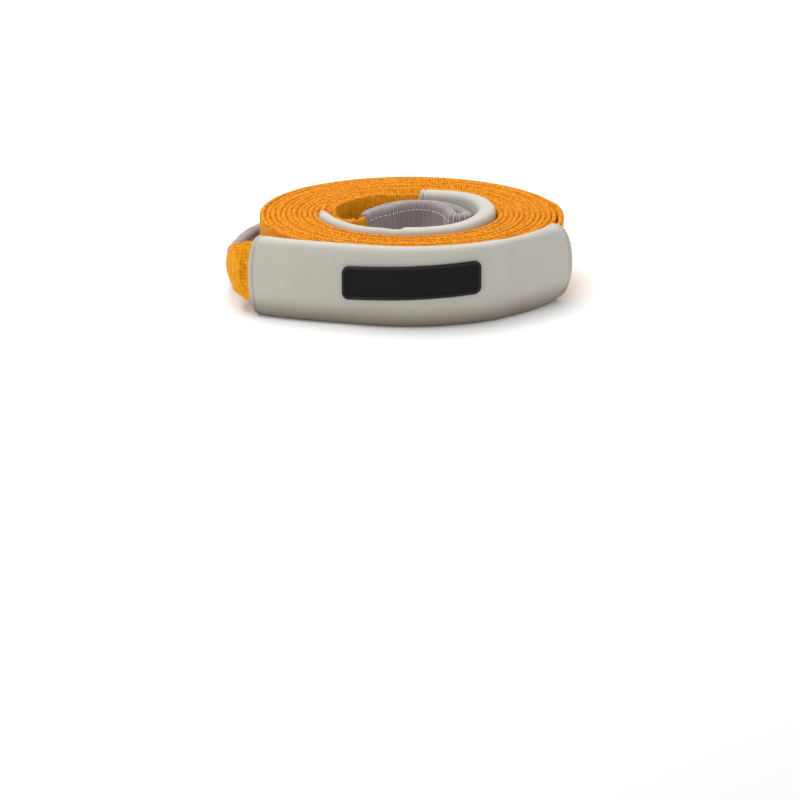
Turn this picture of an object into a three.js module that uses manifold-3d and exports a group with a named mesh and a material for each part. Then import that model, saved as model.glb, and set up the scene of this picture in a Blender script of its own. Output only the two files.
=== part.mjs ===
// A recovery strap, stored rolled up and lying on its edge: one long strip of webbing wound in
// turns, its outer end brought round the front, its inner end brought round inside the hole.
// Each end is sewn back on itself as an eye. A padded sleeve covers each doubled run, and a
// thinner gathered sleeve covers each eye.
// Millimetres, +Z up, front towards -Y. Plan angles are in degrees, anticlockwise from +X.
import * as THREE from "three";
import { mergeVertices } from "three/addons/utils/BufferGeometryUtils.js";
import Module from "manifold-3d";

// Webbing and roll
const STRAP_WIDTH = 60;
const STRAP_THICKNESS = 4.2;
const TURN_COUNT = 12;
const TURN_SPACING = 4.4;
const HOLE_RADIUS = 75;
const GROOVE_WIDTH = 1.5;
const GROOVE_DEPTH = 1.2;
const ROLL_SEGMENTS = 44;

// Padded wear sleeves, drawn over the doubled runs
const WEAR_FABRIC = 2.6;
const WEAR_SIDE_ROOM = 0.5;
const WEAR_EDGE_ROOM = 0.8;
const WEAR_CORNER_RADIUS = 4.6;
const OUTER_SLEEVE_FROM = 217.5;
const OUTER_SLEEVE_TO = 336;
const INNER_SLEEVE_FROM = 196;
const INNER_SLEEVE_TO = 443;
const DOUBLED_OUTER_TO = 300;
const DOUBLED_INNER_FROM = 297;

// Sewn eyes and their gathered sleeves
const EYE_THICKNESS = 6;
const EYE_TIP_WIDTH = 30;
const INNER_EYE_TIP_RAISE = 12;
const INNER_EYE_TOP = 58;
const INNER_EYE_TOP_DROP = 4.3;
const EYE_SPREAD = 17;
const EYE_FABRIC = 1.5;
const EYE_EDGE_ROOM = 0.8;
const EYE_CORNER_RADIUS = 2.6;
const EYE_LEG_STEPS = 15;
const EYE_TIP_STEPS = 8;
const OUTER_EYE_SLEEVE_STATIONS = [5, 32];
const INNER_EYE_SLEEVE_STATIONS = [3, 35];

// Patch on the front of the outer wear sleeve
const PATCH_LENGTH = 116;
const PATCH_HEIGHT = 28;
const PATCH_THICKNESS = 1.6;
const PATCH_CORNER_RADIUS = 6;
const PATCH_RAISE = 5.6; // above the sleeve's middle
const PATCH_ANGLE = 270.3;
const PATCH_TILT = 2.2; // degrees, up to the right

// Clearances: between a skin and the webbing in it, and between neighbours that touch
const SKIN_FIT = 0.3;
const SEAT_GAP = 0.5;

const ROLL_RADIUS = HOLE_RADIUS + TURN_COUNT * TURN_SPACING;
const HALF_SINGLE = STRAP_THICKNESS / 2;
const HALF_DOUBLE = STRAP_THICKNESS;
const HALF_EYE = EYE_THICKNESS / 2;
const WEAR_WALL = WEAR_FABRIC + WEAR_SIDE_ROOM;
const EYE_WALL = EYE_FABRIC + SKIN_FIT;
const RUN_LIFT = WEAR_FABRIC + WEAR_EDGE_ROOM;

const wasm = await Module();
wasm.setup();

function solidOf(geometry) {
  const bare = geometry.clone();
  bare.deleteAttribute("normal");
  bare.deleteAttribute("uv");
  const merged = mergeVertices(bare, 1e-3);
  return new wasm.Manifold(
    new wasm.Mesh({
      numProp: 3,
      vertProperties: Float32Array.from(merged.getAttribute("position").array),
      triVerts: Uint32Array.from(merged.index.array),
    }),
  );
}

function geometryOf(solid) {
  const mesh = solid.getMesh();
  const geometry = new THREE.BufferGeometry();
  geometry.setAttribute("position", new THREE.BufferAttribute(mesh.vertProperties, 3));
  geometry.setIndex(new THREE.BufferAttribute(mesh.triVerts, 1));
  const faceted = geometry.toNonIndexed();
  faceted.computeVertexNormals();
  return faceted;
}

const polar = (degrees, radius) => {
  const angle = THREE.MathUtils.degToRad(degrees);
  return new THREE.Vector3(radius * Math.cos(angle), radius * Math.sin(angle), 0);
};

const curveThrough = (points) => new THREE.CatmullRomCurve3(points, false, "centripetal");

// A value that goes from one size to another between two places, with soft ends.
const blend = (from, to, start, end, place) =>
  from + (to - from) * THREE.MathUtils.smoothstep(place, start, end);

// The plan angle of a point on a run, counted on past 360 as the run goes round.
function turnedAngle(point, near) {
  const angle = THREE.MathUtils.radToDeg(Math.atan2(point.y, point.x));
  return angle + 360 * Math.round((near - angle) / 360);
}

// Share of a run's length at which it has turned to the given plan angle.
function shareAtAngle(run, degrees) {
  const samples = 720;
  let angle = run.firstAngle;
  for (let i = 0; i <= samples; i++) {
    angle = turnedAngle(run.path.getPointAt(i / samples), angle);
    if (angle >= degrees) return i / samples;
  }
  return 1;
}

const evenShares = (from, to, steps) =>
  Array.from({ length: steps + 1 }, (_, i) => from + ((to - from) * i) / steps);

// Places along a run: the sleeve and the webbing in it share theirs, so both bend alike.
function placeStations(run, before, within, after) {
  run.sleeveShares = evenShares(run.sleeveFrom, run.sleeveTo, within);
  run.shares = [
    ...evenShares(0, run.sleeveFrom, before).slice(0, -1),
    ...run.sleeveShares,
    ...evenShares(run.sleeveTo, 1, after).slice(1),
  ];
}

// A rectangle with rounded corners, centred on the origin.
function roundedRectangle(halfX, halfY, radius) {
  const r = Math.min(radius, halfX * 0.98, halfY * 0.98);
  const shape = new THREE.Shape();
  shape.moveTo(halfX, -halfY + r);
  shape.lineTo(halfX, halfY - r);
  shape.absarc(halfX - r, halfY - r, r, 0, Math.PI / 2);
  shape.absarc(-halfX + r, halfY - r, r, Math.PI / 2, Math.PI);
  shape.absarc(-halfX + r, -halfY + r, r, Math.PI, Math.PI * 1.5);
  shape.absarc(halfX - r, -halfY + r, r, Math.PI * 1.5, Math.PI * 2);
  shape.closePath();
  return shape;
}

function rectangle(halfX, halfY) {
  const shape = new THREE.Shape();
  shape.moveTo(halfX, -halfY);
  shape.lineTo(halfX, halfY);
  shape.lineTo(-halfX, halfY);
  shape.lineTo(-halfX, -halfY);
  shape.closePath();
  return shape;
}

// A section extruded in steps and laid along a plan path. The section is drawn round a strip of
// the stated nominal size. stripAt(share) gives the strip's half thickness and its low and high
// edges at a place on the path, and the section's sides and edges move with them.
function laidAlong(path, section, nominal, stripAt, shares) {
  const steps = shares.length - 1;
  const geometry = new THREE.ExtrudeGeometry(section, {
    depth: 1,
    steps,
    bevelEnabled: false,
    curveSegments: 2,
  });
  const position = geometry.getAttribute("position");
  const stations = shares.map((share) => ({
    point: path.getPointAt(share),
    tangent: path.getTangentAt(share),
    strip: stripAt(share),
  }));
  for (let i = 0; i < position.count; i++) {
    const { point, tangent, strip } = stations[Math.round(position.getZ(i) * steps)];
    const x = position.getX(i);
    const y = position.getY(i);
    const across = x + Math.sign(x) * (strip.half - nominal.half);
    const up = y > 0 ? strip.high + y - nominal.halfHeight : strip.low + y + nominal.halfHeight;
    position.setXYZ(i, point.x - tangent.y * across, point.y + tangent.x * across, up);
  }
  return geometry;
}

const NOMINAL_RUN = { half: HALF_DOUBLE, halfHeight: STRAP_WIDTH / 2 };
const NOMINAL_EYE = { half: HALF_EYE, halfHeight: STRAP_WIDTH / 2 };

const webbingAlong = (path, nominal, stripAt, shares) =>
  laidAlong(path, rectangle(nominal.half, nominal.halfHeight), nominal, stripAt, shares);

function sleeveAlong(path, nominal, stripAt, shares, fabric, sideRoom, edgeRoom, radius) {
  const section = roundedRectangle(
    nominal.half + sideRoom + fabric,
    nominal.halfHeight + edgeRoom + fabric,
    radius,
  );
  section.holes.push(rectangle(nominal.half + sideRoom, nominal.halfHeight + edgeRoom));
  return laidAlong(path, section, nominal, stripAt, shares);
}

// The wound turns: one turned ring with its hole, and a groove between turns on both ends.
function rollGeometry() {
  const bottom = [];
  for (let turn = 0; turn < TURN_COUNT; turn++) {
    const inner = HOLE_RADIUS + turn * TURN_SPACING;
    const outer = inner + TURN_SPACING;
    const isFirst = turn === 0;
    const isLast = turn === TURN_COUNT - 1;
    bottom.push([isFirst ? inner : inner + GROOVE_WIDTH / 2, 0]);
    bottom.push([isLast ? outer : outer - GROOVE_WIDTH / 2, 0]);
    if (!isLast) bottom.push([outer, GROOVE_DEPTH]);
  }
  const top = bottom.map(([radius, height]) => [radius, STRAP_WIDTH - height]).reverse();
  const profile = [...bottom, ...top, bottom[0]].map(([r, h]) => new THREE.Vector2(r, h));
  return new THREE.LatheGeometry(profile, ROLL_SEGMENTS).rotateX(Math.PI / 2);
}

// Outer run: from the eye's neck at the left, straight to the front, round to the right, then
// onto the roll as its outermost turn.
const outerSeat = ROLL_RADIUS + SEAT_GAP + WEAR_WALL + HALF_DOUBLE;
const outerFace = ROLL_RADIUS + HALF_SINGLE;
const outerRun = {
  firstAngle: 214.5,
  path: curveThrough([
    polar(214.5, outerSeat + 30.4),
    polar(217, outerSeat + 27.3),
    polar(225.3, outerSeat + 17.9),
    polar(234.9, outerSeat + 8.8),
    polar(245, outerSeat + 2.2),
    ...[255, 265, 275, 285, 295, 305, 315, 325, 332].map((a) => polar(a, outerSeat)),
    polar(338, outerSeat - 0.4),
    polar(345, outerFace + 3.6),
    polar(352, outerFace + 1.6),
    polar(360, outerFace + 0.7),
    polar(370, outerFace + 0.2),
    polar(380, outerFace - 0.6),
    polar(390, outerFace - 1.7),
    polar(400, outerFace - 3.2),
    polar(410, ROLL_RADIUS - HALF_SINGLE - 0.1),
    polar(418, ROLL_RADIUS - HALF_SINGLE - 0.3),
  ]),
};
outerRun.doubledTo = shareAtAngle(outerRun, DOUBLED_OUTER_TO);
outerRun.sleeveFrom = shareAtAngle(outerRun, OUTER_SLEEVE_FROM);
outerRun.sleeveTo = shareAtAngle(outerRun, OUTER_SLEEVE_TO);
placeStations(outerRun, 2, 28, 14);
outerRun.stripAt = (share) => {
  const low = blend(RUN_LIFT, 0, outerRun.sleeveTo, 0.93, share);
  const thinning = [outerRun.doubledTo, outerRun.doubledTo + 0.03];
  return {
    half: blend(HALF_DOUBLE, HALF_SINGLE, ...thinning, share),
    low,
    high: low + STRAP_WIDTH,
  };
};

// Inner run: off the innermost turn at the left, round the front and right of the hole in its
// sleeve, along the back, then curled round to the inner eye's neck.
const innerFace = HOLE_RADIUS + HALF_SINGLE;
const innerSingleSeat = HOLE_RADIUS - SEAT_GAP - WEAR_WALL - HALF_SINGLE;
const innerSeat = HOLE_RADIUS - SEAT_GAP - WEAR_WALL - HALF_DOUBLE;
const innerRun = {
  firstAngle: 150,
  path: curveThrough([
    polar(150, innerFace + 0.3),
    polar(162, innerFace + 0.1),
    polar(172, innerFace - 1.2),
    polar(181, innerFace - 3.8),
    polar(189, innerSingleSeat + 0.9),
    ...[196, 206, 216, 226, 236, 246, 256, 266, 276, 286].map((a) => polar(a, innerSingleSeat)),
    polar(291, (innerSingleSeat + innerSeat) / 2),
    ...[296, 306, 316, 326, 336, 346, 356, 366, 376, 386, 396].map((a) => polar(a, innerSeat)),
    ...[406, 416, 426, 436, 446, 456, 466, 476, 486, 496].map((a) => polar(a, innerSeat)),
    ...[506, 516, 525].map((a) => polar(a, innerSeat)),
    polar(533, innerSeat + 0.2),
    polar(540.9, innerSeat - 2.3),
    polar(546.2, innerSeat - 7.4),
    polar(548.9, innerSeat - 15.7),
    polar(549.2, innerSeat - 20.5),
  ]),
};
innerRun.doubledFrom = shareAtAngle(innerRun, DOUBLED_INNER_FROM);
innerRun.sleeveFrom = shareAtAngle(innerRun, INNER_SLEEVE_FROM);
innerRun.sleeveTo = shareAtAngle(innerRun, INNER_SLEEVE_TO);
placeStations(innerRun, 6, 34, 22);
innerRun.stripAt = (share) => {
  const raised = blend(0, RUN_LIFT, innerRun.sleeveFrom * 0.4, innerRun.sleeveFrom, share);
  const low = share < 0.5 ? raised : blend(RUN_LIFT, 0, innerRun.sleeveTo, 0.97, share);
  const thickening = [innerRun.doubledFrom, innerRun.doubledFrom + 0.03];
  return {
    half: blend(HALF_SINGLE, HALF_DOUBLE, ...thickening, share),
    low,
    high: low + STRAP_WIDTH,
  };
};

// An eye: a narrow loop that leaves the neck as one leg, turns at the tip and comes back as the
// other. The spine runs midway between the legs, and the legs part to the full spread.
function eyeLoop(spinePoints, side) {
  const spine = curveThrough(spinePoints);
  const legSteps = 22;
  const halfSpreadAt = (share) => blend(1.6, EYE_SPREAD / 2, 0, 0.3, share);
  const leg = (sign) =>
    evenShares(0, 1, legSteps).map((share) => {
      const point = spine.getPointAt(share);
      const tangent = spine.getTangentAt(share);
      const across = sign * side * halfSpreadAt(share);
      return new THREE.Vector3(point.x + tangent.y * across, point.y - tangent.x * across, 0);
    });
  const end = spine.getPointAt(1);
  const ahead = spine.getTangentAt(1);
  const tip = [30, 60, 90, 120, 150].map((degrees) => {
    const angle = THREE.MathUtils.degToRad(degrees);
    const across = side * Math.cos(angle) * (EYE_SPREAD / 2);
    const along = Math.sin(angle) * (EYE_SPREAD / 2);
    const x = end.x + ahead.y * across + ahead.x * along;
    const y = end.y - ahead.x * across + ahead.y * along;
    return new THREE.Vector3(x, y, 0);
  });
  const path = curveThrough([...leg(1), ...tip, ...leg(-1).reverse()]);
  // close stations round the tip, wider ones along the legs
  const nearTip = 0.5 - (0.5 * Math.PI * EYE_SPREAD * 0.62) / path.getLength();
  const shares = [
    ...evenShares(0, nearTip, EYE_LEG_STEPS),
    ...evenShares(nearTip, 1 - nearTip, EYE_TIP_STEPS).slice(1, -1),
    ...evenShares(1 - nearTip, 1, EYE_LEG_STEPS),
  ];
  return { path, shares };
}

// 0 at the neck and 1 at the tip, from the place along the loop.
const towardsTip = (share) => 1 - Math.abs(2 * share - 1);

const outerEyeSeat = ROLL_RADIUS + SEAT_GAP + EYE_WALL + HALF_EYE + EYE_SPREAD / 2;
const outerEye = eyeLoop(
  [
    polar(215.4, outerSeat + 29.2),
    polar(211.5, outerEyeSeat + 24.2),
    polar(206.8, outerEyeSeat + 18.2),
    polar(199.2, outerEyeSeat + 9.4),
    polar(191.9, outerEyeSeat + 3.6),
    polar(184, outerEyeSeat + 0.8),
    ...[176.7, 169.2, 160.5, 152, 147.5].map((a) => polar(a, outerEyeSeat)),
  ],
  -1,
);
outerEye.stripAt = (share) => {
  const low = EYE_FABRIC + EYE_EDGE_ROOM;
  const narrowing = Math.pow(1 - towardsTip(share), 1.6);
  return {
    half: HALF_EYE,
    low,
    high: low + EYE_TIP_WIDTH + (STRAP_WIDTH - EYE_TIP_WIDTH) * narrowing,
  };
};

const innerEyeSeat = innerSeat - HALF_DOUBLE - WEAR_WALL;
const innerEye = eyeLoop(
  [
    polar(548.5, innerEyeSeat - 12.5),
    polar(533.7, innerEyeSeat - 23.8),
    polar(505.8, innerEyeSeat - 29.8),
    polar(472, innerEyeSeat - 26.6),
    polar(441.3, innerEyeSeat - 20.5),
    polar(417.3, innerEyeSeat - 18.4),
    polar(394, innerEyeSeat - 19),
    polar(371, innerEyeSeat - 18.2),
    polar(357.3, innerEyeSeat - 17),
  ],
  -1,
);
innerEye.stripAt = (share) => {
  const raised = INNER_EYE_TIP_RAISE * (1 - Math.pow(1 - towardsTip(share), 1.6));
  return {
    half: HALF_EYE,
    low: EYE_FABRIC + EYE_EDGE_ROOM + raised,
    high: INNER_EYE_TOP - blend(0, INNER_EYE_TOP_DROP, 0.35, 0.65, share),
  };
};

// The webbing is one strip, so roll, runs and eyes are joined.
const webbing = [
  webbingAlong(outerRun.path, NOMINAL_RUN, outerRun.stripAt, outerRun.shares),
  webbingAlong(outerEye.path, NOMINAL_EYE, outerEye.stripAt, outerEye.shares),
  webbingAlong(innerRun.path, NOMINAL_RUN, innerRun.stripAt, innerRun.shares),
  webbingAlong(innerEye.path, NOMINAL_EYE, innerEye.stripAt, innerEye.shares),
].reduce((joined, piece) => joined.add(solidOf(piece)), solidOf(rollGeometry()));

const wearSleeve = (run) =>
  sleeveAlong(
    run.path,
    NOMINAL_RUN,
    run.stripAt,
    run.sleeveShares,
    WEAR_FABRIC,
    WEAR_SIDE_ROOM,
    WEAR_EDGE_ROOM,
    WEAR_CORNER_RADIUS,
  );

const eyeSleeve = (eye, [first, last]) =>
  sleeveAlong(
    eye.path,
    NOMINAL_EYE,
    eye.stripAt,
    eye.shares.slice(first, last + 1),
    EYE_FABRIC,
    SKIN_FIT,
    EYE_EDGE_ROOM,
    EYE_CORNER_RADIUS,
  );

// The patch follows the sleeve's outer face, so its path is the run's, moved outwards.
function patchGeometry() {
  const middle = shareAtAngle(outerRun, PATCH_ANGLE);
  const length = outerRun.path.getLength();
  const start = middle - PATCH_LENGTH / 2 / length;
  const end = middle + PATCH_LENGTH / 2 / length;
  const points = evenShares(start - 0.01, end + 0.01, 24).map((share) => {
    const point = outerRun.path.getPointAt(share);
    const tangent = outerRun.path.getTangentAt(share);
    const half = outerRun.stripAt(share).half + WEAR_WALL + SEAT_GAP + PATCH_THICKNESS / 2;
    return new THREE.Vector3(point.x + tangent.y * half, point.y - tangent.x * half, 0);
  });
  const path = curveThrough(points);
  const pathLength = path.getLength();
  const half = Math.min(PATCH_LENGTH / 2, pathLength / 2 - 0.5);
  const corner = [0, 0.1, 0.3, 0.6, 1].map((t) => PATCH_CORNER_RADIUS * t);
  const ends = corner.map((along) => -half + along);
  const body = [];
  for (let i = 1; i < 12; i++)
    body.push(-half + PATCH_CORNER_RADIUS + ((2 * half - 2 * PATCH_CORNER_RADIUS) * i) / 12);
  const places = [...ends, ...body, ...ends.map((along) => -along).reverse()];
  const shares = places.map((place) => 0.5 + place / pathLength);
  const slope = Math.tan(THREE.MathUtils.degToRad(PATCH_TILT));
  const stripAt = (share) => {
    const place = (share - 0.5) * pathLength;
    const middleHeight = (STRAP_WIDTH + 2 * RUN_LIFT) / 2 + PATCH_RAISE + slope * place;
    const fromEnd = half - Math.abs(place);
    const short = THREE.MathUtils.clamp(PATCH_CORNER_RADIUS - fromEnd, 0, PATCH_CORNER_RADIUS);
    const inset = PATCH_CORNER_RADIUS - Math.sqrt(PATCH_CORNER_RADIUS ** 2 - short ** 2);
    return {
      half: PATCH_THICKNESS / 2,
      low: middleHeight - PATCH_HEIGHT / 2 + inset,
      high: middleHeight + PATCH_HEIGHT / 2 - inset,
    };
  };
  const nominal = { half: PATCH_THICKNESS / 2, halfHeight: PATCH_HEIGHT / 2 };
  return laidAlong(path, rectangle(nominal.half, nominal.halfHeight), nominal, stripAt, shares);
}

const fabric = (color, roughness) =>
  new THREE.MeshStandardMaterial({ color, roughness, metalness: 0 });
const orangeWebbing = fabric(0xf0851a, 0.75);
const paleSleeve = fabric(0xbdbab0, 0.85);
const greySleeve = fabric(0x837778, 0.85);
const blackRubber = fabric(0x1b1b19, 0.6);

const strap = new THREE.Group();
strap.name = "rolled_strap";
const add = (name, geometry, material) => {
  const mesh = new THREE.Mesh(geometry, material);
  mesh.name = name;
  strap.add(mesh);
};

add("webbing", geometryOf(webbing), orangeWebbing);
add("outer_wear_sleeve", wearSleeve(outerRun), paleSleeve);
add("inner_wear_sleeve", wearSleeve(innerRun), paleSleeve);
add("outer_eye_sleeve", eyeSleeve(outerEye, OUTER_EYE_SLEEVE_STATIONS), greySleeve);
add("inner_eye_sleeve", eyeSleeve(innerEye, INNER_EYE_SLEEVE_STATIONS), greySleeve);
add("label_patch", patchGeometry(), blackRubber);

// The origin is under the middle of the whole strap's box, on the floor.
const box = new THREE.Box3().setFromObject(strap);
const middle = box.getCenter(new THREE.Vector3());
strap.children.forEach((mesh) => mesh.position.set(-middle.x, -middle.y, -box.min.z));

export default strap;
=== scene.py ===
# %% [markdown]
# # A rolled recovery strap
#
# The real object is one long woven strap, about nine metres of it, wound into a flat roll.
# Each end is folded back and sewn into an eye, and grey fabric guards the eyes and the two
# stretches of doubled strap beside them. This lesson dresses a measured frame with it.
#
# The frame comes first, because every piece has to stay where the measured solids are.

# %% Load the measured frame
import math

import bpy
import numpy as np
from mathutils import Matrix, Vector


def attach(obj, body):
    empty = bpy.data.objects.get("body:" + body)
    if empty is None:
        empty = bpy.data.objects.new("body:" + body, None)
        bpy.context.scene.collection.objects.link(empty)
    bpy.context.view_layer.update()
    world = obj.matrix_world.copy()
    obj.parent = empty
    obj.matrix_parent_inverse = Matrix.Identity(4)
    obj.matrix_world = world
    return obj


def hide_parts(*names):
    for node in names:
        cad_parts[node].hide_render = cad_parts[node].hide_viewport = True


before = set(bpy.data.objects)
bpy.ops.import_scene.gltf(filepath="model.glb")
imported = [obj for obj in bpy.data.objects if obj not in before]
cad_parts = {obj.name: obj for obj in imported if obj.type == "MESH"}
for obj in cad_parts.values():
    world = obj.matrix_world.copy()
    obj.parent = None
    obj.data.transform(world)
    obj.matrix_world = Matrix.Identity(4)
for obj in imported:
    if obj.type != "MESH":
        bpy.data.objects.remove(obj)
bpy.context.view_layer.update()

# %% [markdown]
# ## Sizes that the pieces share
#
# All of the strap's routes were measured from the roll's own axis, in millimetres, with
# angles counted anticlockwise from the right-hand side as seen from above. The front of the
# roll is at 270 degrees. Keeping these numbers lets each piece sit exactly on its solid.

# %% Sizes in millimetres
MM = 0.001
ROLL_AXIS = np.array([11.462, 8.593])
STRAP_WIDTH = 60.0
HALF_STRAP = 2.1  # half the strap's thickness
OUTER_SEAT = 135.6  # radius of the outer run, where the strap is doubled
OUTER_FACE = 129.9  # radius at which the outer run joins the roll
INNER_SEAT = 67.2  # radius of the inner run, where the strap is doubled
INNER_SINGLE_SEAT = 69.3  # radius of its single stretch
INNER_FACE = 77.1  # radius at which the inner run leaves the roll
OUTER_EYE_SEAT = 141.6
INNER_EYE_SEAT = 59.9
ROLL_LIFT = 0.9  # the roll's lower edge, on average
RUN_LIFT = 3.4  # the runs lie higher, on the sleeves' cloth
SLEEVE_TOP = 66.8


def polar(degrees, radius):
    """A point in plan at that angle and radius from the roll's axis."""
    a = math.radians(degrees)
    return ROLL_AXIS + radius * np.array([math.cos(a), math.sin(a)])


def ease(x, start=0.0, end=1.0):
    """0 before start, 1 after end, and a smooth ramp between."""
    t = np.clip((np.asarray(x, float) - start) / (end - start), 0, 1)
    return t * t * (3 - 2 * t)


# %% [markdown]
# ## A smooth route through measured points
#
# A strap never turns a sharp corner, so its route is a smooth curve through a few measured
# points. Blender's own curves could do it, but the strap needs other values along the way
# too: how thick it is, and how high its two edges are. So the route is a table of numbers
# with one row for each station, and the curve runs through all the columns at once.


# %% The route helper
def lengths(points):
    """How far along the line of points each one is."""
    return np.concatenate([[0], np.cumsum(np.linalg.norm(np.diff(points, axis=0), axis=1))])


def resampled(at, along, table):
    """The table's rows at other distances along its route."""
    return np.stack([np.interp(at, along, column) for column in table.T], axis=1)


def smooth_route(rows, step):
    """A centripetal Catmull-Rom curve through the rows, with stations step mm apart in plan."""
    rows = np.array(rows, float)
    ends = np.vstack([2 * rows[0] - rows[1], rows, 2 * rows[-1] - rows[-2]])
    pieces = []
    for i in range(1, len(ends) - 2):
        four = ends[i - 1 : i + 3]
        apart = np.sqrt(np.linalg.norm(np.diff(four[:, :2], axis=0), axis=1))
        knots = np.concatenate([[0], np.cumsum(apart)])
        t = np.linspace(knots[1], knots[2], 16, endpoint=False)[:, None]

        def between(p, q, a, b):
            return ((b - t) * p + (t - a) * q) / (b - a)

        a1, a2, a3 = (between(four[k], four[k + 1], knots[k], knots[k + 1]) for k in range(3))
        b1 = between(a1, a2, knots[0], knots[2])
        b2 = between(a2, a3, knots[1], knots[3])
        pieces.append(between(b1, b2, knots[1], knots[2]))
    fine = np.vstack([*pieces, rows[-1:]])
    along = lengths(fine[:, :2])
    count = max(2, int(round(along[-1] / step)) + 1)
    return resampled(np.linspace(0, along[-1], count), along, fine)


def right_hand(xy):
    """The unit directions that point to the right of a route in plan."""
    t = np.gradient(xy, axis=0)
    t /= np.linalg.norm(t, axis=1)[:, None]
    return np.stack([t[:, 1], -t[:, 0]], axis=1)


# %% [markdown]
# ## From rings to a closed skin
#
# Every soft piece here is long, so each is lofted: a ring of points round the section is
# placed at each station, and neighbouring rings are joined by four-sided faces. The texture
# coordinates hold real distances in metres, along the piece and round it, so that a weave
# keeps its true size on every piece. Each point can also carry a "crown" value, which is 1
# on the top of a rib or pleat and 0 in its groove, for the finish to read.


# %% The loft helper
def new_piece(name, mesh, material):
    """The finished mesh as a smooth object of that material."""
    mesh.polygons.foreach_set("use_smooth", [True] * len(mesh.polygons))
    mesh.validate()
    mesh.materials.append(material)
    piece = bpy.data.objects.new(name, mesh)
    bpy.context.scene.collection.objects.link(piece)
    return piece


def loft(name, grid, along, around, material, joined=False, crown=None):
    """grid[i, j] is point j of ring i in mm; joined rings meet, and open ones get end caps."""
    rings, count = grid.shape[:2]
    points = grid.reshape(-1, 3)
    i = np.arange(rings if joined else rings - 1)
    here, ahead = i[:, None] * count, ((i + 1) % rings)[:, None] * count
    j = np.arange(count)[None, :]
    k = (j + 1) % count
    faces = np.stack([c.ravel() for c in (here + j, here + k, ahead + k, ahead + j)], axis=1)
    u0, u1 = np.repeat(along[i], count), np.repeat(along[(i + 1) % rings], count)
    v0, v1 = np.tile(around[:-1], len(i)), np.tile(around[1:], len(i))
    pairs = ((u0, v0), (u0, v1), (u1, v1), (u1, v0))
    uv = np.stack([np.stack(pair, axis=1) for pair in pairs], axis=1)
    corners = points[faces]
    slants = np.cross(corners[:, 0] - corners[:, 2], corners[:, 1] - corners[:, 3])
    inside_out = (slants * corners.mean(1)).sum() < 0
    if inside_out:
        faces, uv = faces[:, ::-1], uv[:, ::-1]
    polygons, sheet_uv = faces.tolist(), uv.reshape(-1, 2).tolist()
    if not joined:
        for ring, flip in ((0, False), (rings - 1, True)):
            order = list(range(ring * count, (ring + 1) * count))
            polygons.append(order if flip != inside_out else order[::-1])
            sheet_uv += [[along[ring], 0.0]] * count
    mesh = bpy.data.meshes.new(name)
    mesh.from_pydata((points * MM).tolist(), [], polygons)
    layer = mesh.uv_layers.new(name="cloth")
    layer.data.foreach_set("uv", (np.array(sheet_uv) * MM).ravel())
    crowns = mesh.attributes.new("crown", "FLOAT", "POINT")
    heights = np.full(len(points), 0.5) if crown is None else np.clip(crown, 0, 1).ravel()
    crowns.data.foreach_set("value", heights.astype(np.float32))
    return new_piece(name, mesh, material)


def settle(piece, node):
    """The piece rides on the strap's one body and stands for its measured solid."""
    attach(piece, "root")
    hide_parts(node)
    size = [round(1000 * v, 1) for v in piece.dimensions]
    faces = sum(len(p.vertices) - 2 for p in piece.data.polygons)
    print(f"{piece.name}: {size} mm, {faces} triangles")
    return piece


# %% [markdown]
# ## Colour and cloth, as nodes
#
# All of the finishes are painted by nodes, so they stay sharp at any distance. The helpers
# below shorten the writing: they make a material, add a node and plug values or other nodes
# into it, turn the texture coordinates into stripes and clouds that follow the threads, and
# mix colours.


# %% Material helpers
def finish_named(name):
    material = bpy.data.materials.new(name)
    material.use_nodes = True
    tree = material.node_tree
    return material, tree, tree.nodes["Principled BSDF"]


def add(tree, kind, inputs=None, **settings):
    """A node of that kind, with settings made and inputs filled or linked."""
    made = tree.nodes.new(kind)
    for key, value in settings.items():
        setattr(made, key, value)
    for key, value in (inputs or {}).items():
        if isinstance(value, bpy.types.NodeSocket):
            tree.links.new(value, made.inputs[key])
        else:
            made.inputs[key].default_value = value
    return made


def sums(tree, operation, first, second=0.0, third=0.0):
    made = add(tree, "ShaderNodeMath", {0: first, 1: second, 2: third}, operation=operation)
    return made.outputs[0]


def cloth_axes(tree):
    """Distance along the piece and round it, in metres."""
    where = add(tree, "ShaderNodeUVMap", uv_map="cloth")
    split = add(tree, "ShaderNodeSeparateXYZ", {0: where.outputs[0]})
    return split.outputs[0], split.outputs[1]


def thread_wave(tree, axis, pitch, phase=0.0):
    """A stripe from 0 to 1 and back in each pitch, in metres."""
    turn = sums(tree, "MULTIPLY_ADD", axis, 2 * math.pi / pitch, phase)
    return sums(tree, "MULTIPLY_ADD", sums(tree, "SINE", turn), 0.5, 0.5)


def crown_value(tree):
    """1 on the crowns of the modelled relief and 0 in its grooves."""
    return add(tree, "ShaderNodeAttribute", attribute_name="crown").outputs["Fac"]


def speckle(tree, scale, detail=3.0, roughness=0.6, vector=None):
    """Cloudy variation from 0 to 1, fixed to the object."""
    where = vector or add(tree, "ShaderNodeTexCoord").outputs["Object"]
    cloud = add(
        tree,
        "ShaderNodeTexNoise",
        {"Vector": where, "Scale": scale, "Detail": detail, "Roughness": roughness},
    )
    return cloud.outputs[0]


def cloth_streaks(tree, along, around, along_scale, around_scale):
    """Cloudy variation stretched slantwise across the cloth, like yarns of uneven wear."""
    slanted = sums(tree, "MULTIPLY_ADD", along, 0.8, around)
    scaled = {
        0: sums(tree, "MULTIPLY", along, along_scale),
        1: sums(tree, "MULTIPLY", slanted, around_scale),
    }
    return speckle(tree, 1.0, 2.0, vector=add(tree, "ShaderNodeCombineXYZ", scaled).outputs[0])


def ranged(tree, value, low, high, at_low, at_high, **settings):
    """The value stretched so that low gives at_low and high gives at_high."""
    inputs = {0: value, 1: low, 2: high, 3: at_low, 4: at_high}
    return add(tree, "ShaderNodeMapRange", inputs, **settings).outputs[0]


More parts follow.
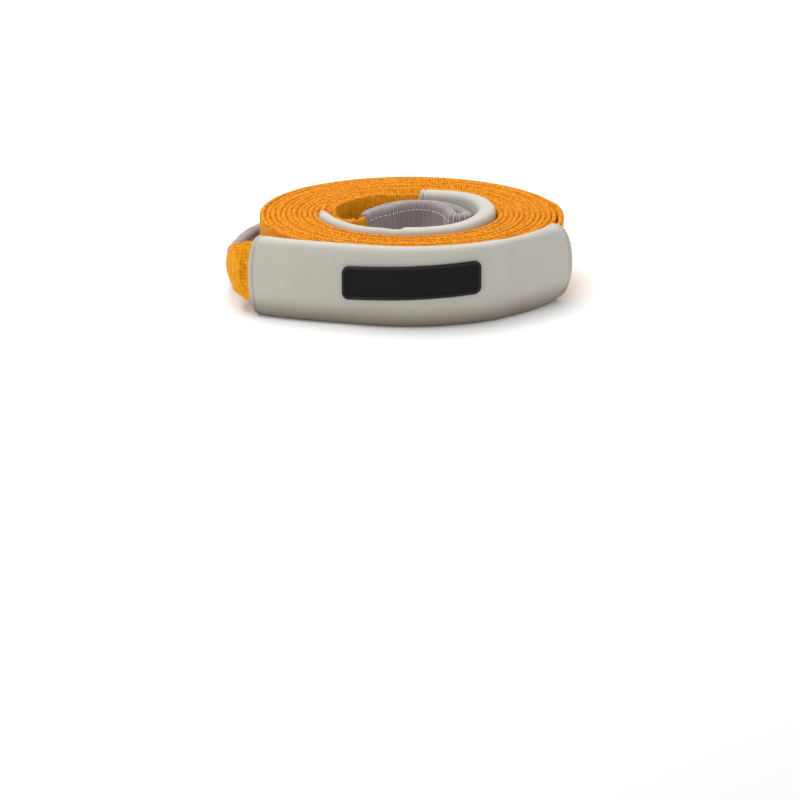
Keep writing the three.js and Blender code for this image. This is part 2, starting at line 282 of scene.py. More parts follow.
def blended(tree, amount, low, high, blend="MIX"):
    """A mix of two colours, each of them three numbers or the output of a node."""
    low, high = ((*c, 1.0) if isinstance(c, tuple) else c for c in (low, high))
    mixed = add(
        tree, "ShaderNodeMix", {0: amount, 6: low, 7: high}, data_type="RGBA", blend_type=blend
    )
    return mixed.outputs[2]


def connect(tree, shader, colour, height, strength, distance):
    """Plug the colour and the fine relief into the shader; distance is in metres."""
    tree.links.new(colour, shader.inputs["Base Color"])
    relief = add(
        tree, "ShaderNodeBump", {"Strength": strength, "Distance": distance, "Height": height}
    )
    tree.links.new(relief.outputs[0], shader.inputs["Normal"])


# %% [markdown]
# ## Orange webbing
#
# Heavy strap webbing is woven with thick cross ribs and fine lengthwise yarns. The cross
# ribs are real geometry on the strap. The node pattern follows the same pitch: it paints
# shade into the grooves and a painted highlight on the crowns of the yarns, and adds slow
# fading and fine fibre noise. The grooves of the modelled ribs and rope edges, and the gaps
# between the turns, get more painted shade.
# Its edges, which make the top of the roll, wear in slanting flecks of light and dark yarn.
# Yarn has a soft shine at grazing angles, which is what sheen is for, but more than a little
# of it turns the orange grey.

# %% Orange webbing finish
RIB_PITCH = 2.6
YARN_PITCH = 1.5
EDGE_PITCH = 2.7


def webbing_finish(name, shade, body, crown):
    material, tree, shader = finish_named(name)
    along, around = cloth_axes(tree)
    rib = thread_wave(tree, along, RIB_PITCH * MM)
    yarn = thread_wave(tree, around, YARN_PITCH * MM, sums(tree, "MULTIPLY", rib, 1.2))
    weave = sums(tree, "MULTIPLY_ADD", rib, 0.55, sums(tree, "MULTIPLY", yarn, 0.45))
    fibres = speckle(tree, 900.0, 2.0)
    fading = speckle(tree, 22.0, 4.0)
    patchy = speckle(tree, 240.0, 3.0)
    # Painted shade and highlight: the weave's grooves take the darker shade colour and its crowns
    # the body colour, with fine fibre noise.
    light = sums(tree, "MULTIPLY_ADD", fibres, 0.35, sums(tree, "MULTIPLY_ADD", weave, 0.62, 0.02))
    base = blended(tree, light, shade, body)
    # Painted highlight: the tops of the crowns are lifted, in patches, towards the crown colour.
    bright = sums(tree, "MULTIPLY", sums(tree, "POWER", weave, 3.0), 1.1)
    crowned = blended(tree, sums(tree, "MULTIPLY", bright, patchy), base, crown)
    wear_and_painted_light = blended(tree, sums(tree, "MULTIPLY", fading, 0.22), crowned, shade, "MULTIPLY")

    fleck = ranged(tree, cloth_streaks(tree, along, around, 250.0, 430.0), 0.40, 0.60, 0.0, 1.0)
    wear_and_painted_light = blended(tree, sums(tree, "MULTIPLY", fleck, 0.45), wear_and_painted_light, crown)
    facing = add(tree, "ShaderNodeNewGeometry").outputs["Normal"]
    facing_up = add(tree, "ShaderNodeSeparateXYZ", {0: facing}).outputs[2]
    on_edge = ranged(tree, facing_up, 0.15, 0.6, 0.12, 0.75)
    dark_fleck = sums(tree, "MULTIPLY", sums(tree, "SUBTRACT", 1.0, fleck), on_edge)
    wear_and_painted_light = blended(tree, dark_fleck, wear_and_painted_light, (0.70, 0.52, 0.30), "MULTIPLY")

    # Painted shade: where the crown value is low, in the modelled ribs' and rope's grooves and
    # between the turns, the colour is darkened with a brown multiply, most on edges facing up.
    groove = sums(tree, "POWER", sums(tree, "SUBTRACT", 1.0, crown_value(tree)), 1.4)
    shadiness = sums(tree, "MULTIPLY", groove, sums(tree, "MULTIPLY_ADD", on_edge, 0.7, 0.42))
    wear_and_painted_light = blended(tree, shadiness, wear_and_painted_light, (0.52, 0.28, 0.11), "MULTIPLY")
    connect(tree, shader, wear_and_painted_light, sums(tree, "MULTIPLY_ADD", fibres, 0.4, weave), 0.55, 0.0005)
    tree.links.new(sums(tree, "MULTIPLY_ADD", fibres, 0.3, 0.5), shader.inputs["Roughness"])
    shader.inputs["Sheen Weight"].default_value = 0.04
    shader.inputs["Sheen Roughness"].default_value = 0.45
    shader.inputs["Sheen Tint"].default_value = (1.0, 0.62, 0.2, 1.0)
    shader.inputs["Specular IOR Level"].default_value = 0.06
    return material


# The colours: the darker tone of the painted grooves and of the fading, the body, and the painted
# highlight of the crowns, which also colours the light flecks.
orange_webbing = webbing_finish(
    "orange_webbing", (0.62, 0.185, 0.001), (0.98, 0.385, 0.002), (1.0, 0.54, 0.03)
)
print("webbing rib pitch in mm:", RIB_PITCH)

# %% [markdown]
# ## Pale sleeve cloth
#
# The wear sleeves are a smooth, tightly woven cloth over a thin pad. Up close there is a
# plain weave of fine yarns, and from afar only a slight mottle, a darker and warmer painted
# shade low down, towards the floor, and a soft bloom at the edges.

# %% Pale sleeve finish
SLEEVE_YARN = 0.9
LOW_SHADE_HEIGHT = 22.0


def sleeve_finish(name, shade, body):
    material, tree, shader = finish_named(name)
    along, around = cloth_axes(tree)
    lengthwise = thread_wave(tree, along, SLEEVE_YARN * MM)
    crosswise = thread_wave(tree, around, SLEEVE_YARN * MM)
    weave = sums(tree, "MULTIPLY", lengthwise, crosswise)
    mottle = speckle(tree, 35.0, 5.0)
    fibres = speckle(tree, 1400.0, 2.0)
    light = sums(tree, "MULTIPLY_ADD", mottle, 0.5, sums(tree, "MULTIPLY_ADD", weave, 0.3, 0.2))
    base = blended(tree, light, shade, body)
    # Painted shade: the colour is darkened and warmed towards the bottom, up to 22 mm above the
    # floor, unevenly with the mottle.
    spot = add(tree, "ShaderNodeTexCoord").outputs["Object"]
    height = add(tree, "ShaderNodeSeparateXYZ", {0: spot}).outputs[2]
    low_down = ranged(
        tree, height, 0.0, LOW_SHADE_HEIGHT * MM, 1.0, 0.0, interpolation_type="SMOOTHSTEP"
    )
    painted_low_shade = sums(tree, "MULTIPLY", low_down, sums(tree, "MULTIPLY_ADD", mottle, 0.6, 0.7))
    colour = blended(tree, painted_low_shade, base, (0.42, 0.34, 0.27), "MULTIPLY")
    connect(tree, shader, colour, sums(tree, "MULTIPLY_ADD", fibres, 0.5, weave), 0.22, 0.0003)
    tree.links.new(sums(tree, "MULTIPLY_ADD", fibres, 0.2, 0.62), shader.inputs["Roughness"])
    shader.inputs["Sheen Weight"].default_value = 0.25
    shader.inputs["Sheen Roughness"].default_value = 0.5
    shader.inputs["Specular IOR Level"].default_value = 0.3
    return material


pale_sleeve_cloth = sleeve_finish("pale_sleeve_cloth", (0.40, 0.385, 0.335), (0.53, 0.51, 0.45))

# %% [markdown]
# ## Gathered eye cloth, thread and rubber
#
# The eyes wear a thinner mauve-grey cloth, gathered into many small pleats. The pleats are
# geometry, and the nodes paint shade into their valleys and a painted highlight on their
# crowns. The sewing thread is pale and a little glossy. The label patch is moulded rubber
# with a dark, grained field and a smooth rim, painted slightly paler as a highlight.


# %% Eye cloth, thread and rubber finishes
def gathered_finish(name, shade, body, crown, pleat_pitch):
    material, tree, shader = finish_named(name)
    along, around = cloth_axes(tree)
    wander = speckle(tree, 60.0, 2.0)
    pleat = thread_wave(tree, along, pleat_pitch * MM, sums(tree, "MULTIPLY", wander, 5.0))
    yarn = thread_wave(tree, around, 0.8 * MM)
    fibres = speckle(tree, 1200.0, 2.0)
    # Painted light on the fine folds: the cloth is lighter on the pleat wave's tops and darker
    # between them.
    light = sums(tree, "MULTIPLY_ADD", pleat, 0.6, sums(tree, "MULTIPLY", yarn, 0.15))
    base = blended(tree, light, shade, body)
    # Painted highlight: the tops of the pleats are lifted towards the crown colour.
    bright = sums(tree, "MULTIPLY", sums(tree, "POWER", pleat, 4.0), 0.6)
    # Painted shade: the valleys of the modelled pleats are darkened with a multiply.
    valley = sums(tree, "MULTIPLY", sums(tree, "SUBTRACT", 1.0, crown_value(tree)), 0.7)
    crowned = blended(tree, bright, base, crown)
    colour = blended(tree, valley, crowned, (0.52, 0.47, 0.48), "MULTIPLY")
    height = sums(tree, "MULTIPLY_ADD", fibres, 0.3, sums(tree, "MULTIPLY_ADD", yarn, 0.3, pleat))
    connect(tree, shader, colour, height, 0.4, 0.0004)
    tree.links.new(sums(tree, "MULTIPLY_ADD", fibres, 0.25, 0.55), shader.inputs["Roughness"])
    shader.inputs["Sheen Weight"].default_value = 0.5
    shader.inputs["Sheen Roughness"].default_value = 0.4
    shader.inputs["Sheen Tint"].default_value = (1.0, 0.88, 0.88, 1.0)
    shader.inputs["Specular IOR Level"].default_value = 0.3
    return material


def thread_finish(name, colour):
    material, tree, shader = finish_named(name)
    twist = speckle(tree, 2500.0, 2.0)
    base = blended(tree, twist, tuple(0.7 * c for c in colour), colour)
    connect(tree, shader, base, twist, 0.3, 0.0002)
    shader.inputs["Roughness"].default_value = 0.55
    shader.inputs["Sheen Weight"].default_value = 0.2
    return material


def rubber_finish(name, shade, dusty, painted_rim_highlight):
    """Rubber, grained where the crown value is 0, and smooth where it is 1, painted paler there as
    a highlight.
    """
    material, tree, shader = finish_named(name)
    spot = add(tree, "ShaderNodeTexCoord").outputs["Object"]
    grain = add(tree, "ShaderNodeTexVoronoi", {"Vector": spot, "Scale": 1100.0})
    dust = speckle(tree, 70.0, 5.0)
    rim = crown_value(tree)
    field = sums(tree, "SUBTRACT", 1.0, rim)
    pores = sums(tree, "MULTIPLY", grain.outputs[0], field)
    base = blended(tree, sums(tree, "MULTIPLY_ADD", pores, 0.8, dust), shade, dusty)
    # Painted highlight: the smooth rim is coloured a little paler than the field.
    colour = blended(tree, sums(tree, "MULTIPLY", rim, 0.9), base, painted_rim_highlight)
    connect(tree, shader, colour, pores, 0.8, 0.0005)
    rough = sums(tree, "MULTIPLY_ADD", dust, 0.2, 0.3)
    rough = sums(tree, "MULTIPLY_ADD", field, 0.25, rough)
    tree.links.new(rough, shader.inputs["Roughness"])
    shader.inputs["Specular IOR Level"].default_value = 0.15
    return material


PLEAT_PITCH = 3.0
# The third colour is the painted highlight on the crowns of the pleats.
mauve_eye_cloth = gathered_finish(
    "mauve_eye_cloth", (0.22, 0.188, 0.184), (0.40, 0.35, 0.343), (0.62, 0.555, 0.54),
    PLEAT_PITCH / 2,
)
pale_thread = thread_finish("pale_thread", (0.80, 0.77, 0.70))
grey_thread = thread_finish("grey_thread", (0.10, 0.10, 0.09))
# The last colour is the rim's painted highlight.
black_rubber = rubber_finish(
    "black_rubber", (0.001, 0.001, 0.001), (0.007, 0.0068, 0.0066), (0.018, 0.018, 0.0175)
)

# %% [markdown]
# ## The strap's whole route
#
# The strap is one piece from eye to eye, so its route is built once, as one table. It
# starts at the cut end that is folded back beside the outer run, goes round the outer eye,
# back along the run, round and round the roll towards the hole, through the inner run,
# round the inner eye and back to its other cut end. It always turns left, so the same
# face of the strap looks outwards all the way.

# %% Routes of the two runs and the two eyes
outer_run = [polar(*p) for p in (
    (214.5, OUTER_SEAT + 30.4), (217, OUTER_SEAT + 27.3), (225.3, OUTER_SEAT + 17.9),
    (234.9, OUTER_SEAT + 8.8), (245, OUTER_SEAT + 2.2),
    *((a, OUTER_SEAT) for a in (255, 265, 275, 285, 295, 305, 315, 325, 332)),
    (338, OUTER_SEAT - 0.4), (345, OUTER_FACE + 3.6), (352, OUTER_FACE + 1.6),
    (360, OUTER_FACE + 0.7), (370, OUTER_FACE + 0.2),
)]
INNER_DOUBLED_FROM = 264
inner_stations = (
    (162, INNER_FACE), (170, INNER_FACE - 0.2), (176, INNER_FACE - 0.9), (181, INNER_FACE - 1.9),
    (186, INNER_FACE - 3.1), (192, INNER_FACE - 4.3), (198, INNER_FACE - 5.4),
    (205, INNER_FACE - 6.4), (212, INNER_FACE - 7.2), (220, INNER_SINGLE_SEAT + 0.2),
    *((a, INNER_SINGLE_SEAT) for a in range(230, 251, 10)),
    (260, (INNER_SINGLE_SEAT + INNER_SEAT) / 2), *((a, INNER_SEAT) for a in range(264, 445, 10)),
    (452, INNER_SEAT + 0.4), (460, INNER_SEAT + 1.3), (470, INNER_SEAT + 2.4),
    (480, INNER_SEAT + 3.0), (495, INNER_SEAT + 3.2), (510, INNER_SEAT + 3.2),
    (522, INNER_SEAT + 3.0), (532, INNER_SEAT + 1.8), (540.5, INNER_SEAT - 1.4),
    (546.2, INNER_SEAT - 7.4), (548.9, INNER_SEAT - 15.7), (549.2, INNER_SEAT - 20.5),
)
inner_run = [polar(*p) for p in inner_stations]
outer_eye_spine = [polar(*p) for p in (
    (215.4, OUTER_SEAT + 29.2), (211.5, OUTER_EYE_SEAT + 24.2), (206.8, OUTER_EYE_SEAT + 18.2),
    (199.2, OUTER_EYE_SEAT + 9.4), (191.9, OUTER_EYE_SEAT + 3.6), (184, OUTER_EYE_SEAT + 0.8),
    *((a, OUTER_EYE_SEAT) for a in (176.7, 169.2, 160.5, 152, 147.5)),
)]
inner_eye_spine = [polar(*p) for p in (
    (548.5, INNER_EYE_SEAT - 12.5), (533.7, INNER_EYE_SEAT - 23.8), (505.8, INNER_EYE_SEAT - 29.8),
    (472, INNER_EYE_SEAT - 26.6), (441.3, INNER_EYE_SEAT - 20.5), (417.3, INNER_EYE_SEAT - 18.4),
    (394, INNER_EYE_SEAT - 19), (371, INNER_EYE_SEAT - 18.2), (357.3, INNER_EYE_SEAT - 17),
)]
SPIRAL_FROM, SPIRAL_TO = 380, 4470
SPIRAL_OUTSIDE, SPIRAL_INSIDE = 129.5, 77.4


def spiral_radius(degrees):
    share = (degrees - SPIRAL_FROM) / (SPIRAL_TO - SPIRAL_FROM)
    return SPIRAL_OUTSIDE + (SPIRAL_INSIDE - SPIRAL_OUTSIDE) * share


print("turns in the roll:", round((SPIRAL_TO - SPIRAL_FROM) / 360, 2))

# %% [markdown]
# The edges of a hand-wound roll never line up exactly. A slow wave lifts and drops each
# turn by up to half a millimetre, a different amount on every turn.


# %% How high the strap's edges lie
def winding_lift(degrees):
    turn = np.asarray(degrees, float) / 360
    return (
        0.75
        + 0.34 * np.sin(2 * math.pi * turn * 1.37 + 0.6)
        + 0.26 * np.sin(2 * math.pi * turn * 0.61 + 2.1)
        + 0.12 * np.sin(2 * math.pi * turn * 4.3)
    )


def angle_of(xy, near):
    """The angle of a point about the roll's axis, within half a turn of near."""
    a = math.degrees(math.atan2(xy[1] - ROLL_AXIS[1], xy[0] - ROLL_AXIS[0]))
    return a + 360 * round((near - a) / 360)


# %% [markdown]
# An eye is a hairpin: two legs beside each other and a tight bend at the tip. Towards the
# tip the strap is folded across its width, so it gets thicker and half as tall.


# %% Rows of the strap's table
def angles_along(route, near):
    """Each station's angle, counted on through whole turns from near."""
    made = []
    for xy in route:
        near = angle_of(xy, near)
        made.append(near)
    return made


def run_rows(centre, near, offset_at, heights_at):
    """Rows along a run, whose shift to the right and edges' heights depend on the angle."""
    route = smooth_route(centre, 6.0)
    angles = angles_along(route, near)
    offsets = np.array([offset_at(a) for a in angles])
    moved = route + right_hand(route) * offsets[:, None]
    return [[*xy, HALF_STRAP, *heights_at(a), 0.0] for xy, a in zip(moved, angles)]


def folded_back(centre, near, heights_at):
    """Rows of the cut end that lies on a run's left side, in the other direction."""
    return run_rows(centre, near, lambda a: -HALF_STRAP, heights_at)[::-1]


def eye_rows(spine, edges_at, bend, cup=0.0):
    """Rows round an eye: along one side of its spine, round the tip, and back.

    bend is half the distance between the legs. The folded strap bellies out between its
    edges by cup, most where it leaves the wear sleeve.
    """
    route = smooth_route(spine, 5.0)
    share = lengths(route) / lengths(route)[-1]
    across = right_hand(route)
    spread = HALF_STRAP + (bend - HALF_STRAP) * ease(share, 0, 0.3)
    going, coming = (route + side * across * spread[:, None] for side in (1, -1))
    ahead = route[-1] - route[-2]
    ahead /= np.linalg.norm(ahead)
    turning = np.radians((22, 45, 67, 90, 113, 135, 158))
    tip = [route[-1] + bend * (across[-1] * math.cos(a) + ahead * math.sin(a)) for a in turning]
    outward = np.linspace(0, 0.46, len(route))
    shares = [*outward, *np.linspace(0.465, 0.535, len(tip)), *(1 - outward[::-1])]
    made = []
    for xy, s in zip([*going, *tip, *coming[::-1]], shares):
        near_tip = 1 - abs(2 * s - 1)
        half = HALF_STRAP + 0.9 * ease(near_tip, 0.1, 0.5)
        belly = cup * (1 - ease(near_tip, 0.15, 0.7))
        made.append([*xy, half, *edges_at(near_tip, s), belly])
    return made


# %% [markdown]
# The heights of the two edges were read off the photograph, station by station. The outer
# eye is folded low, and the inner run sinks a little at the front and at its back end.


# %% How high the edges of the eyes and runs are
OUTER_SHARES = (0, 0.1, 0.2, 0.35, 0.45, 0.6, 1)
OUTER_LOW = (11.5, 15.5, 15.5, 10.5, 7.5, 4.5, 3.5)
OUTER_HIGH = (60.5, 54.5, 46.5, 37.5, 33.5, 30, 30)


def outer_edges(near_tip, s):
    return [np.interp(near_tip, OUTER_SHARES, edge) for edge in (OUTER_LOW, OUTER_HIGH)]


def inner_edges(near_tip, s):
    low = 2.6 + 12 * (1 - (1 - near_tip) ** 1.6)
    neck = 5.0 * (1 - ease(near_tip, 0.0, 0.13))
    return low, 60.5 - neck - 3.0 * ease(s, 0.35, 0.65)


def outer_heights(degrees):
    lift = RUN_LIFT + (winding_lift(degrees) - RUN_LIFT) * ease(degrees, 338, 400)
    folding = 1 - ease(degrees, 214, 234)
    return lift + 8.0 * folding, lift + STRAP_WIDTH - 2.9 * folding


def inner_heights(degrees):
    rise = ease(degrees, 162, 196) - ease(degrees, 443, 490)
    lift = ROLL_LIFT + (RUN_LIFT - ROLL_LIFT) * rise
    front = 2.4 * (ease(degrees, 165, 190) - ease(degrees, 300, 350))
    left = 1.5 * (ease(degrees, 165, 190) - ease(degrees, 225, 262))
    back = 3.0 * (ease(degrees, 385, 440) - ease(degrees, 450, 485))
    neck = 5.0 * ease(degrees, 528, 548)
    return lift, lift + STRAP_WIDTH - (back + (front + left) + neck)


# %% The whole route in one table
OUTER_BEND, INNER_BEND = 8.5, 6.4
OUTER_CUP = 3.2
LEAST_STEP = 1.2
outer_eye_rows = eye_rows(outer_eye_spine, outer_edges, OUTER_BEND, OUTER_CUP)
inner_eye_rows = eye_rows(inner_eye_spine, inner_edges, INNER_BEND)
outer_doubled = [p for p in outer_run if angle_of(p, 260) < 303]
inner_doubled = [polar(*p) for p in inner_stations if p[0] > INNER_DOUBLED_FROM]

rows = folded_back(outer_doubled, 214, outer_heights)
rows += outer_eye_rows
rows += run_rows(outer_run, 214, lambda a: HALF_STRAP * (1 - ease(a, 297, 310)), outer_heights)
for degrees in range(SPIRAL_FROM, SPIRAL_TO + 1, 5):
    xy, lift = polar(degrees, spiral_radius(degrees)), winding_lift(degrees)
    rows.append([*xy, HALF_STRAP, lift, lift + STRAP_WIDTH, 0.0])
rows += run_rows(
    inner_run, 162, lambda a: HALF_STRAP * ease(a, 257, INNER_DOUBLED_FROM), inner_heights
)
rows += inner_eye_rows
rows += folded_back(inner_doubled, 270, inner_heights)
rows = np.array(rows)
apart = np.linalg.norm(np.diff(rows[:, :2], axis=0), axis=1)
rows = rows[np.concatenate([[True], apart > LEAST_STEP])]
print("strap length in metres:", round(lengths(rows[:, :2])[-1] * MM, 2))

# %% [markdown]
# ## The strap's section and its woven relief
#
# The section is a flat oblong with rounded edges. Two kinds of relief go on it as real
# shape: cross ribs on the broad faces, and a twisted-rope look on the edges, where the
# cross yarn turns back round the outermost lengthwise yarns. A displacement modifier could
# do this, but moving the ring's own points is exact and needs far fewer faces.


# %% The strap section
EDGE_RISE = 1.25
RIB_HEIGHT = 0.2
ROPE_HEIGHT = 0.24
EASED_OVER = 9


def strap_section(face_points, edge_points):
    """Rows of (side, height share, up, is edge, angle) for the points round the section."""
    made = []
    for side, start, top in ((1.0, 0.0, 1.0), (-1.0, math.pi, 0.0)):
        for share in np.linspace(1 - top, top, face_points):
            made.append((side, share, 0.0, 0.0, start))
        for a in np.linspace(start, start + math.pi, edge_points + 2)[1:-1]:
            made.append((math.cos(a), top, math.sin(a), 1.0, a))
    return np.array(made)


def strap_piece(name, station_from, station_to, step, face_points, edge_points, ribs=1.0):
    """A stretch of the strap between two distances along its route, in mm."""
    along_rows = lengths(rows[:, :2])
    inside = (along_rows > station_from - 40) & (along_rows < station_to + 40)
    fine = smooth_route(rows[inside], 0.25)
    along = lengths(fine[:, :2]) + along_rows[inside][0]
    count = int((station_to - station_from) / step) + 1
    at = np.linspace(station_from, station_to, count)
    table = resampled(at, along, fine)
    margin = EASED_OVER // 2
    for k in (0, 1):
        eased = np.convolve(table[:, k], np.ones(EASED_OVER) / EASED_OVER, "valid")
        table[margin:-margin, k] = eased
    across = right_hand(table[:, :2])
    section = strap_section(face_points, edge_points)
    side, share, up, edge, angle = (column[None, :] for column in section.T)
    half, low, high, cup = (table[:, k][:, None] for k in (2, 3, 4, 5))

    rib = np.sqrt(np.abs(np.sin(math.pi * at / RIB_PITCH)))[:, None] - 0.6
    drift = 1.3 * np.sin(at / 31.0) + 0.9 * np.sin(at / 12.3 + 1.0) + 0.5 * np.sin(at / 5.1)
    uneven = 0.8 + 0.35 * np.sin(at / 7.7 + 2.0) * np.sin(at / 3.9)
    phase = 2 * math.pi * at / EDGE_PITCH + drift
    rope = np.cos(phase[:, None] + 2.1 * angle) * uneven[:, None]
    wobble = 0.12 * np.sin(at[:, None] / 17.0 + 3 * share)
    relief = np.where(edge > 0, ROPE_HEIGHT * rope, ribs * RIB_HEIGHT * rib + wobble)
    out = side * half + side * relief + cup * (1 - (2 * share - 1) ** 2)
    tall = high - low - 2 * EDGE_RISE
    z = low + EDGE_RISE + tall * share + up * EDGE_RISE + up * relief
    grid = np.empty((count, side.shape[1], 3))
    grid[:, :, :2] = table[:, None, :2] + across[:, None, :] * out[:, :, None]
    grid[:, :, 2] = np.maximum(z, 0.05)

    ring = grid[count // 2]
    around = lengths(ring[[*range(len(ring)), 0]])
    # The crown value steers the finish's painted shade: it is low in the ribs' and rope's grooves,
    # and lower still where an edge rounds into a face, between neighbouring turns.
    face_crown = 0.45 + 0.9 * rib * ribs + 0.55 * (1 - ribs)
    crown = np.where(edge > 0, 0.5 + 0.5 * rope, face_crown)
    crown = crown * (1 - 0.5 * np.abs(side) ** 6 * (edge > 0))
    made = loft(name, grid, at, around, orange_webbing, crown=crown)
    return settle(made, "webbing")


# %% Where the strap is divided
plan_lengths = lengths(rows[:, :2])
total = plan_lengths[-1]


def station_near(degrees, radius, after, before=1e9):
    """The distance along the strap of the route's point nearest to that place."""
    ok = (plan_lengths >= after) & (plan_lengths <= before)
    gap = np.where(ok, np.linalg.norm(rows[:, :2] - polar(degrees, radius), axis=1), 1e9)
    return float(plan_lengths[gap.argmin()])


outer_back = station_near(225, OUTER_SEAT + 18, after=450)
first_turn_end = station_near(740, spiral_radius(740), after=outer_back + 900)
last_turn = SPIRAL_TO - 380
last_turn_start = station_near(
    last_turn, spiral_radius(last_turn), after=5500, before=total - 1200
)
inner_sleeve_middle = station_near(140, INNER_SEAT, after=total - 900)
divisions = (outer_back, first_turn_end, last_turn_start, inner_sleeve_middle, total)
print("divisions in mm:", [round(v) for v in divisions])

# %% [markdown]
# The strap is divided where nobody looks: the divisions lie inside a sleeve or between two
# turns. Finer stations go where a broad face shows, and plainer ones between the turns.

# %% Strap pieces
strap_piece("outer_eye_strap", 0.0, outer_back, 0.8, 10, 7)
strap_piece("outermost_turn", outer_back, first_turn_end, 0.52, 7, 7)
middle = (first_turn_end + last_turn_start) / 2
strap_piece("wound_turns_outer", first_turn_end, middle, 0.85, 2, 6, ribs=0.0)
strap_piece("wound_turns_inner", middle, last_turn_start, 0.85, 2, 6, ribs=0.0)
strap_piece("innermost_turn", last_turn_start, inner_sleeve_middle, 0.52, 7, 7)
strap_piece("inner_eye_strap", inner_sleeve_middle, total, 0.8, 10, 7)

# %% [markdown]
# ## The wear sleeves
#
# Each wear sleeve is a flat tube of padded cloth with a hemmed end, pushed over the doubled
# strap. It is lofted as a shell with an outer and an inner wall: the rings run along the
# outside, turn in at the hem, and come back along the inside. So the cloth has a real
# thickness, and the strap can be seen going into it.


# %% The sleeve section
def soft_oblong(half, low, high, top_radius, bottom_radius, count):
    """count points round an upright oblong with round corners, starting at mid outer side."""
    top, bottom, middle = high - top_radius, low + bottom_radius, (low + high) / 2
    path = []

    def face(s, start, end, steps):
        path.extend((s, z) for z in np.linspace(start, end, steps, endpoint=False))

    def corner(side, centre, radius, start):
        wide = min(radius, half)
        for a in np.linspace(start, start + math.pi / 2, 10, endpoint=False):
            s = side * (half - wide) + wide * math.cos(a)
            path.append((s, centre + radius * math.sin(a)))

    face(half, middle, top, 16)
    corner(1, top, top_radius, 0)
    corner(-1, top, top_radius, math.pi / 2)
    face(-half, top, bottom, 32)
    corner(-1, bottom, bottom_radius, math.pi)
    corner(1, bottom, bottom_radius, 1.5 * math.pi)
    face(half, bottom, middle, 16)
    closed = np.array([*path, path[0]])
    along = lengths(closed)
    at = np.linspace(0, along[-1], count, endpoint=False)
    return resampled(at, along, closed), along[-1]


def sleeve_route(centre, first, last, step):
    """The stations of a sleeve between two angles on a run, with their angles."""
    route = smooth_route(centre, 0.5)
    angles = np.array(angles_along(route, first - 20))
    inside = (angles >= first) & (angles <= last)
    along = lengths(route[inside])
    at = np.linspace(0, along[-1], int(along[-1] / step) + 1)
    return resampled(at, along, route[inside]), at, np.interp(at, along, angles[inside])


# %% [markdown]
# A sewn hem pulls the cloth in at its stitch line and lets it flare again at the very end.
# The ends are also slightly bowed: the cloth is shorter at its top and bottom folds, where
# it wraps over the strap's edges.


# %% The sleeve loft
SLEEVE_CLOTH = 2.6
SLEEVE_ROOM = 3.1  # from the strap's face to the sleeve's outer skin
STRAP_ROOM = 2.45  # the least half thickness inside the sleeve
SLEEVE_MIDDLE = SLEEVE_TOP / 2
TOP_ROUND, BOTTOM_ROUND = 5.0, 8.5
HEM_WIDTH = 4.2
LIP_LENGTH = 1.2
SKIN_GAP = 0.05


def wear_sleeve(name, centre, first, last, half_at, node, bow, fullness, flare, top_at, count=96):
    """A padded tube on a run from one angle to another, with a hem at each end."""
    plan, along, angles = sleeve_route(centre, first, last, 2.0)
    length = along[-1]
    near_end = np.array([0.0, 0.5, 1.1, 1.9, 2.8, 3.6, HEM_WIDTH, 4.8, 5.6, 6.8])
    between_ends = along[(along > 8) & (along < length - 8)]
    at = np.concatenate([near_end, between_ends, length - near_end[::-1]])
    plan, angles = resampled(at, along, plan), np.interp(at, along, angles)
    across = right_hand(plan)
    ahead = np.stack([-across[:, 1], across[:, 0]], axis=1)
    walls = []
    for cloth in (0.0, SLEEVE_CLOTH):
        wall = np.empty((len(at), count, 3))
        for i, distance in enumerate(at):
            from_end = min(distance, length - distance)
            end = 0 if distance < length / 2 else 1
            inset = min(cloth, half_at(angles[i]) + SLEEVE_ROOM - STRAP_ROOM)
            near_lip = min(1.0, max(0.0, 1 - from_end / LIP_LENGTH))
            lip = (-0.42 if cloth else 0.5) * SLEEVE_CLOTH * (1 - math.sqrt(1 - near_lip**2))
            pinch = 0.0 if cloth else 1.1 * math.exp(-(((from_end - HEM_WIDTH) / 0.8) ** 2))
            half = half_at(angles[i]) + SLEEVE_ROOM - inset - lip - pinch
            low = inset + lip + SKIN_GAP + pinch
            high = top_at(angles[i]) - inset - lip - pinch
            ring, around = soft_oblong(
                half, low, high, TOP_ROUND - inset, BOTTOM_ROUND - inset, count
            )
            s, z = ring.T
            up = (z - SLEEVE_MIDDLE) / SLEEVE_MIDDLE
            belly = fullness * (1 - up**2) * (0.75 + 0.25 * math.sin(distance / 23.0 + 0.7))
            open_end = flare[end] * math.exp(-((from_end / 26.0) ** 1.3))
            belly = belly + open_end * np.clip(1 - up**2, 0, 1) ** 0.7
            puckers = 0.12 * np.sin(distance / 5.3 + 6 * up) * math.exp(-from_end / 14.0)
            out = s + (s > 0) * (belly + puckers) * np.clip(np.abs(s) / half, 0, 1)
            shift = (1, -1)[end] * bow * np.abs(up) ** 3 * math.exp(-from_end / 18.0)
            wall[i, :, :2] = plan[i] + across[i] * out[:, None] + ahead[i] * shift[:, None]
            wall[i, :, 2] = z
        walls.append(wall)
    grid = np.concatenate([walls[0], walls[1][::-1]])
    spaced = np.linspace(0, around, count + 1)
    skin = loft(name, grid, np.concatenate([at, at[::-1]]), spaced, pale_sleeve_cloth, joined=True)
    piece = settle(skin, node)
    return walls[0], across, at


def level_top(degrees):
    return SLEEVE_TOP


def settling_top(degrees):
    """The inner sleeve is lower at the front, dips before the strap is doubled, and sinks."""
    dip = 1.3 * (ease(degrees, 248, 261) - ease(degrees, 263, 266))
    front = 2.4 * (1 - ease(degrees, 300, 350)) + 1.5 * (1 - ease(degrees, 225, 262))
    return SLEEVE_TOP - front - 3.0 * ease(degrees, 385, 440) - dip


def outer_half(degrees):
    return 2 * HALF_STRAP - HALF_STRAP * ease(degrees, 300, 306)


